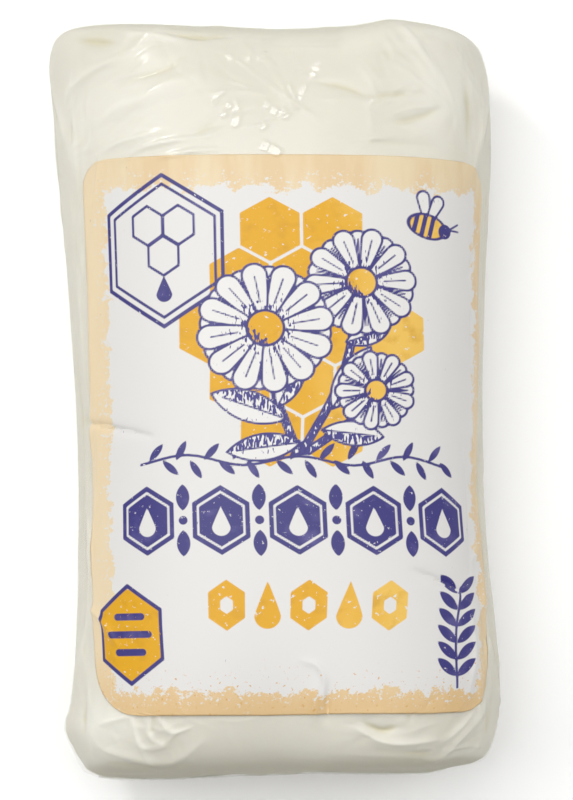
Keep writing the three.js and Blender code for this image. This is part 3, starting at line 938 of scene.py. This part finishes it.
class Print:
    """The label's print at points of the flat label: gold, white over it, indigo, and hatching."""

    def __init__(self, points):
        self.p = points
        self.gold, self.white, self.indigo = (np.full(len(points), NOWHERE) for _ in range(3))
        self.hatch = np.zeros(len(points))

    def gild(self, inside):
        """A gold shape."""
        self.gold = np.maximum(self.gold, inside)

    def draw(self, inside):
        """An indigo shape."""
        self.indigo = np.maximum(self.indigo, inside)

    def cover(self, inside, shade, line=0.26):
        """A white shape, hatched where it is shaded, with an indigo outline, over what is there."""
        self.indigo = np.minimum(self.indigo, -inside - 0.02)
        self.gold = np.minimum(self.gold, -inside)
        self.white = np.maximum(self.white, inside)
        self.hatch = np.where(inside > 0, shade, self.hatch)
        self.draw(rim(inside, line))

    def leafy(self, x, y, length, width, degrees, line=0.26):
        """A leaf with a dark half and a middle vein."""
        _, across = turned(self.p, x, y, degrees)
        self.cover(leaf(self.p, x, y, length, width, degrees), np.where(across < 0, 0.75, 0.3), line)
        vein = [(x, y), away_from(x, y, length * 0.85, degrees)]
        self.draw(stroke(self.p, vein, 0.22))

    def blossom(self, x, y, radius, petals, turn):
        """A daisy: white petals, shaded towards a gold middle."""
        middle = radius * 0.27
        for layer, reach in ((0.5, 0.95), (0, 1.0)):
            for i in range(petals):
                degrees = turn + (i + layer) * 360 / petals
                inside = petal(self.p, x, y, middle, reach * radius - middle, radius * 0.42, degrees)
                away = np.hypot(self.p[:, 0] - x, self.p[:, 1] - y) / radius
                self.cover(inside, np.clip(1.0 - 1.3 * away + 0.3 * layer, 0.1, 1))
                vein = [away_from(x, y, share * radius, degrees) for share in (0.4, 0.8)]
                self.draw(np.minimum(stroke(self.p, vein, 0.2), inside))
        heart = disc(self.p, x, y, middle)
        self.indigo = np.minimum(self.indigo, -heart)
        self.white = np.minimum(self.white, -heart)
        self.gild(heart)
        lower = ease(0.2, 1.0, (x - self.p[:, 0] + y - self.p[:, 1]) / middle)
        self.hatch = np.where(heart > 0, 0.8 * lower, self.hatch)
        self.draw(rim(heart, 0.3))

    def bee(self, x, y, degrees):
        """A bee seen from its side, with two wings, three stripes and feelers."""
        for wing_degrees, length in ((100, 3.6), (62, 3.4)):
            self.cover(petal(self.p, x, y + 0.3, 0.2, length, 1.7, wing_degrees), 0.25)
        q = np.column_stack(turned(self.p, x, y, degrees))
        body = 1.35 - np.hypot(q[:, 0] / 1.75, q[:, 1])
        self.cover(body, 0)
        self.white = np.minimum(self.white, -body)
        self.gild(body)
        for place in (-1.5, -0.5, 0.5):
            self.draw(np.minimum(0.27 - np.abs(q[:, 0] - place), body))
        self.draw(disc(q, 2.3, 0.1, 0.85))
        for tip in ((3.9, 1.5), (4.2, 0.7)):
            self.draw(stroke(q, [(2.8, 0.5), tip], 0.24))


def paint(p):
    """The whole print at points of the flat label."""
    art = Print(p)
    # Emblem at the top left: a double hexagon with three cells and a drop
    emblem = hexagon(p, 10.3, 52.6, 7.5, 1.16)
    art.draw(rim(emblem, 0.4))
    art.draw(rim(emblem - 0.78, 0.3))
    for x, y in ((-1.75, 2.6), (1.75, 2.6), (0, -0.9)):
        art.draw(rim(hexagon(p, 10.3 + x, 52.9 + y, 1.95, 1.16), 0.28))
    art.draw(drop(p, 10.3, 47.6, 0.9, 2.1))
    # Picture: three daisies before a patch of honeycomb, over a vine, and a bee
    for row, first, count in ((0, -0.5, 2), (1, -1, 3), (2, -1.5, 4), (3, -1, 3), (4, -0.5, 2)):
        for i in range(count):
            x, y = 25.3 + (first + i) * CELL * math.sqrt(3), 43.2 + (row - 2) * CELL * 1.5
            art.gild(hexagon(p, x, y, CELL - 0.2))
    vine = [(7.6, 28.2), (13, 29.2), (19, 28.0), (25, 29.0), (31, 28.0), (36.5, 29.1), (41.6, 28.1)]
    art.draw(stroke(p, soft_route(vine), 0.3))
    for i, x in enumerate(np.arange(8.6, 41.4, 1.55)):
        art.draw(leaf(p, x, 28.6, 2.5, 0.8, (50, -42, 64, -58)[i % 4]))
    for stem in ([(21.4, 42), (22.4, 36), (24.8, 29.6)], [(31.2, 47), (29.4, 38), (25.4, 29.6)],
                 [(32.8, 35), (29.2, 32), (26.0, 29.6)]):
        art.cover(stroke(p, soft_route(stem), 0.75), 0.9)
    for row in LEAVES:
        art.leafy(*row)
    art.blossom(31.7, 48.9, 6.2, 10, 4)
    art.blossom(21.2, 43.6, 7.4, 12, 10)
    art.blossom(33.2, 36.6, 4.5, 9, 22)
    art.bee(39.4, 55.6, -14)
    # Row of cells, each with a drop, and leaves between them
    for i in range(5):
        x = 24.85 + (i - 2) * 8.3
        cell = hexagon(p, x, 21.8, 3.6, 1.1)
        art.draw(np.minimum(cell, -rim(cell - 0.62, 0.26)))
        art.indigo = np.minimum(art.indigo, -drop(p, x, 21.0, 1.0, 2.3))
        if i < 4:
            for side in (-1, 1):
                art.draw(leaf(p, x + 4.15, 21.8 + side * 1.1, 3.0, 1.5, side * 90))
            art.draw(disc(p, x + 4.15, 21.8, 0.5))
    # Gold row of drops and cells
    for i in range(5):
        x = 16.9 + i * 4.45
        if i % 2:
            art.gild(drop(p, x, 11.0, 1.45, 3.9))
        else:
            art.gild(np.minimum(hexagon(p, x, 12.2, 2.3, 1.25), -hexagon(p, x, 12.2, 0.8, 1.25)))
    # Plaque with three bars, and a sprig
    plaque = hexagon(p, 5.6, 9.0, 4.5, 1.22)
    art.gild(plaque)
    art.draw(rim(plaque, 0.4))
    for y, half in ((11.0, 1.6), (9.0, 2.4), (7.0, 1.6)):
        art.draw(stroke(p, [(5.6 - half, y), (5.6 + half, y)], 0.8))
    art.draw(stroke(p, soft_route([(43.4, 2.9), (43.0, 8), (43.6, 14.4)]), 0.34))
    for y in np.arange(4.2, 14, 1.9):
        for side in (-1, 1):
            art.draw(leaf(p, 43.2, y, 3.4, 1.2, 90 - side * 52))
    return art


label, top_flat = label_sheet("paper_label", TOP_STEP)
move_vertices(label, (label_place(top_flat, LABEL_LIFT + PAPER_THICKNESS) + SHIFT) * MM)
back, back_flat = label_sheet("label_back", BACK_STEP)
move_vertices(back, (label_place(back_flat, LABEL_LIFT) + SHIFT) * MM)
for sheet, flat in ((label, top_flat), (back, back_flat)):
    art = paint(flat)
    inks = np.clip(0.5 + np.column_stack([art.gold, art.white, art.indigo]), 0, 1)
    for name, values in (("flat", np.column_stack([flat, np.zeros(len(flat))])), ("inks", inks)):
        held = sheet.data.attributes.new(name, "FLOAT_VECTOR", "POINT")
        held.data.foreach_set("vector", values.astype(np.float32).ravel())
    note(sheet, "hatch", art.hatch)
pick_up(back)
turn_faces_round()
label.select_set(True)
bpy.context.view_layer.objects.active = label
bpy.ops.object.join()
bpy.ops.object.mode_set(mode="EDIT")
bpy.ops.mesh.select_mode(type="EDGE")
bpy.ops.mesh.select_all(action="DESELECT")
bpy.ops.mesh.select_non_manifold()
bpy.ops.mesh.bridge_edge_loops()
bpy.ops.object.mode_set(mode="OBJECT")
shade_smooth(label)

# Coated label paper, printed: white and satin, with a peach wash brushed round its edge, and gold
# and indigo inks that are worn in places like a woodcut.
printed, printed_out = new_material("coated_label_paper")
flat_at = node(printed, "Attribute", {"attribute_name": "flat"}).outputs["Vector"]
inks_at = node(printed, "Attribute", {"attribute_name": "inks"}).outputs["Vector"]
hatch_at = node(printed, "Attribute", {"attribute_name": "hatch"}).outputs["Fac"]
place_uv = node(printed, "SeparateXYZ", Vector=flat_at)
ink = node(printed, "SeparateXYZ", Vector=inks_at)


def specks(per_mm, detail=2.0, rough=0.5, stretch=(1, 1, 1), shift=0.0):
    """Uneven specks over the flat label."""
    moved = node(printed, "Mapping", Vector=flat_at, Scale=stretch, Location=(shift, shift, 0))
    return node(printed, "TexNoise", Vector=moved, Scale=per_mm, Detail=detail, Roughness=rough)


def above(value, level, soft):
    """1 where the value is above the level, 0 where it is below."""
    return node(printed, "MapRange", Value=value, From_Min=level - soft, From_Max=level + soft)


def over(share, below, colour):
    """A colour laid over another."""
    return node(printed, "Mix", {"data_type": "RGBA"}, _0=share, _6=below,
                _7=colour).outputs["Result"]


def both(a, b):
    """Where two shares hold together."""
    return node(printed, "Math", {"operation": "MULTIPLY"}, _0=a, _1=b)


def less(value, taken):
    """What is left of a value."""
    return node(printed, "Math", {"operation": "SUBTRACT"}, _0=value, _1=taken)


def swayed(value, by, amount):
    """A value that specks make uneven."""
    return node(printed, "Math", {"operation": "MULTIPLY_ADD"}, _0=by, _1=amount, _2=value)


# How far inside the border points lie, with the sway of the brush
right_at, up_at = place_uv.outputs["X"], place_uv.outputs["Y"]
BORDER = {"left": 3.2, "right": 1.7, "foot": 2.5, "head": 3.7}
inward = less(right_at, BORDER["left"])
for other in (less(LABEL_WIDTH - BORDER["right"], right_at), less(up_at, BORDER["foot"]),
              less(LABEL_HEIGHT - BORDER["head"], up_at)):
    inward = node(printed, "Math", {"operation": "MINIMUM"}, _0=inward, _1=other)
brushed = swayed(inward, less(specks(0.45, 6, 0.72), 0.5), 7.0)
# Peach wash, paler at the left and deeper at the foot, that breaks up into flecks and spots
wash = over(above(specks(0.11, 4, 0.6, (2.2, 0.5, 1)), 0.5, 0.12), linear("d8be95"), linear("ddcba8"))
wash = over(both(above(right_at, 4.5, -2.0), 0.7), wash, linear("e2cfac"))
wash = over(both(above(up_at, 4.0, -3.0), 0.75), wash, linear("d5b27c"))
flecks = both(above(specks(1.9, 3, 0.7, shift=9), 0.6, 0.03), above(brushed, -1.3, 0.5))
bare = node(printed, "Math", {"operation": "MAXIMUM"}, _0=above(brushed, 0, 0.1), _1=flecks)
paper = over(bare, wash, linear("d8d6d3"))
spots = both(above(specks(2.3, 2, 0.6, shift=31), 0.67, 0.03),
             both(above(brushed, 2.4, -0.8), above(up_at, 7.0, -2.0)))
paper = over(spots, paper, linear("cf9f5c"))
# Gold ink, worn, with a painted reflection that makes it paler to the right, and white over it
paler = above(swayed(right_at, specks(0.12, 2), 14.0), 38.0, 4.0)
gold_tone = over(paler, linear("d79f04"), linear("e4b954"))
gold_tone = over(both(above(specks(0.5, 3), 0.62, 0.1), 0.5), gold_tone, linear("c28c06"))
unworn = above(specks(1.5, 3, 0.6, shift=57), 0.66, -0.03)
paper = over(both(above(ink.outputs["X"], 0.5, 0.05), unworn), paper, gold_tone)
paper = over(above(ink.outputs["Y"], 0.5, 0.05), paper, linear("dddbd8"))
# Hatching cut into the shaded shapes, and indigo ink that is faded in patches
dashes = specks(1.0, 1.5, 0.5, (3.4, 1.1, 1), 3)
level = node(printed, "MapRange", Value=hatch_at, From_Min=0.02, To_Min=0.8, To_Max=0.36)
paper = over(above(less(dashes, level), 0, 0.03), paper, linear("3a357c"))
faded = both(above(specks(0.3, 3, shift=5), 0.62, 0.08), 0.4)
indigo_tone = over(faded, linear("332e74"), linear("6d679c"))
thin = above(specks(1.7, 4, 0.7, shift=71), 0.655, -0.03)
paper = over(both(above(ink.outputs["Z"], 0.5, 0.05), thin), paper, indigo_tone)
satin = node(printed, "BsdfPrincipled", Base_Color=paper, Roughness=0.45, IOR=1.45)
surface(printed, printed_out, satin)
label.data.materials.append(printed)
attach(label, "root")
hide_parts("label")
